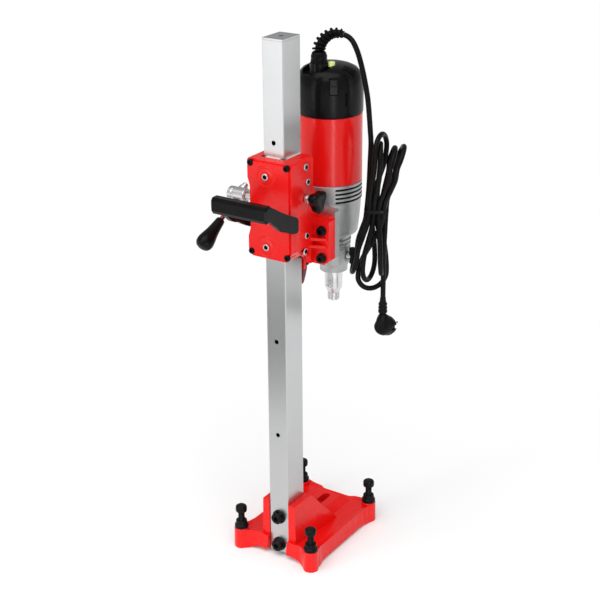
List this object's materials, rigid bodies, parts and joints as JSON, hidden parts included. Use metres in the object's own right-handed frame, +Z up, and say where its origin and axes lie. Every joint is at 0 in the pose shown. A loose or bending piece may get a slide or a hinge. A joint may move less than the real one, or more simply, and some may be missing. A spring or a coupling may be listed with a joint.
{
  "type": "core drill rig",
  "caption": "Core drill motor on a rack-driven carriage that slides on a square column, standing on a base with levelling screws.",
  "frame": {"origin": "middle of the rig's footprint on the floor: the bottom centre of its bounding box without the hanging cord", "axes": "+Z up along the column, +X to the right along the column's front face, +Y from the column towards the drill motor"},
  "size_m": [0.316, 0.3564, 1.005],
  "materials": {
    "red_paint": "glossy red enamel on castings and the motor tube",
    "aluminium": "satin anodised extrusion",
    "cast_aluminium": "fine-blasted casting",
    "steel": "bright turned steel",
    "black_screw": "black oxide, satin",
    "black_plastic": "fine-grained black plastic",
    "black_rubber": "matt black rubber",
    "nylon": "natural nylon",
    "bronze": "oiled sintered bronze",
    "maroon": "smooth dark red plastic",
    "level_glass": "clear yellow-green window"
  },
  "bodies": {
    "stand": {"base_casting": "red_paint", "column_tube": "aluminium", "column_top_cap": "aluminium", "column_bolt_lower": "black_screw", "column_bolt_upper": "black_screw", "gear_rack": "steel", "lock_nut_front_left": "black_screw", "lock_nut_front_right": "black_screw", "lock_nut_rear_left": "black_screw", "lock_nut_rear_right": "black_screw"},
    "levelling_screw_front_left": {"levelling_screw_front_left": "black_screw"},
    "levelling_screw_front_right": {"levelling_screw_front_right": "black_screw"},
    "levelling_screw_rear_left": {"levelling_screw_rear_left": "black_screw"},
    "levelling_screw_rear_right": {"levelling_screw_rear_right": "black_screw"},
    "carriage": {"carriage_body": "red_paint", "front_cover": "red_paint", "cover_screw_1": "black_screw", "cover_screw_2": "black_screw", "cover_screw_3": "black_screw", "cover_screw_4": "black_screw", "front_adjuster_upper": "steel", "front_adjuster_lower": "steel", "side_adjuster_1": "steel", "side_adjuster_2": "steel", "side_adjuster_3": "steel", "side_adjuster_4": "steel", "side_pad_right": "nylon", "side_pad_left": "nylon", "front_pad": "nylon", "rear_pad": "nylon", "shaft_bush_left": "bronze", "shaft_bush_right": "bronze", "carry_handle": "black_plastic", "mounting_bolt_1": "black_screw", "mounting_bolt_2": "black_screw", "mounting_bolt_3": "black_screw", "mounting_bolt_4": "black_screw", "motor_foot": "cast_aluminium", "motor_housing": "red_paint", "motor_cap": "black_plastic", "stator_core": "steel", "bubble_level": "level_glass", "gearbox_housing": "cast_aluminium", "spindle_bearing": "steel", "water_fitting": "black_plastic", "cord_gland": "black_rubber", "strain_relief": "black_rubber", "cord_tube": "black_rubber", "cord_hank": "black_rubber", "cord_tie": "black_plastic", "plug": "black_rubber"},
    "clamp_knob": {"clamp_knob": "black_plastic"},
    "lock_lever": {"lock_lever": "maroon"},
    "feed_crank": {"pinion_shaft": "steel", "crank_hub": "steel", "crank_grip": "black_plastic"},
    "power_switch": {"power_switch": "black_plastic"},
    "armature": {"armature": "steel"},
    "layshaft": {"layshaft_gear": "steel"},
    "spindle": {"spindle": "steel"}
  },
  "joints": [
    {"name": "carriage_slide", "type": "slide", "parent": "stand", "child": "carriage", "axis": [0, 0, 1], "range_m": [-0.38, 0.19]},
    {"name": "feed_crank_turn", "type": "hinge", "parent": "carriage", "child": "feed_crank", "pos_m": [0.02725, 0.00875, 0.688], "axis": [1, 0, 0], "range_deg": [-1815, 908]},
    {"name": "clamp_knob_turn", "type": "hinge", "parent": "carriage", "child": "clamp_knob", "pos_m": [0.08725, -0.04225, 0.726], "axis": [1, 0, 0], "range_deg": [0, 540]},
    {"name": "lock_lever_turn", "type": "hinge", "parent": "carriage", "child": "lock_lever", "pos_m": [0.04125, 0.00775, 0.585], "axis": [0, 1, 0], "range_deg": [-80, 20]},
    {"name": "levelling_front_left", "type": "slide", "parent": "stand", "child": "levelling_screw_front_left", "axis": [0, 0, 1], "range_m": [-0.015, 0.004]},
    {"name": "levelling_front_right", "type": "slide", "parent": "stand", "child": "levelling_screw_front_right", "axis": [0, 0, 1], "range_m": [-0.015, 0.004]},
    {"name": "levelling_rear_left", "type": "slide", "parent": "stand", "child": "levelling_screw_rear_left", "axis": [0, 0, 1], "range_m": [-0.015, 0.004]},
    {"name": "levelling_rear_right", "type": "slide", "parent": "stand", "child": "levelling_screw_rear_right", "axis": [0, 0, 1], "range_m": [-0.015, 0.004]},
    {"name": "power_switch_press", "type": "slide", "parent": "carriage", "child": "power_switch", "axis": [-0.6239, 0.7815, 0], "range_m": [0, 0.0015]},
    {"name": "armature_spin", "type": "hinge", "parent": "carriage", "child": "armature", "pos_m": [0.02725, 0.11675, 0.7], "axis": [0, 0, 1], "continuous": true},
    {"name": "layshaft_spin", "type": "hinge", "parent": "carriage", "child": "layshaft", "pos_m": [0.05125, 0.10125, 0.65], "axis": [0, 0, 1], "continuous": true},
    {"name": "spindle_spin", "type": "hinge", "parent": "carriage", "child": "spindle", "pos_m": [0.02725, 0.13075, 0.56], "axis": [0, 0, 1], "continuous": true}
  ],
  "couplings": [
    {"joint": "feed_crank_turn", "follows": "carriage_slide", "rad_per_m": 83.333},
    {"joint": "layshaft_spin", "follows": "armature_spin", "ratio": -0.21212},
    {"joint": "spindle_spin", "follows": "armature_spin", "ratio": 0.05303}
  ]
}
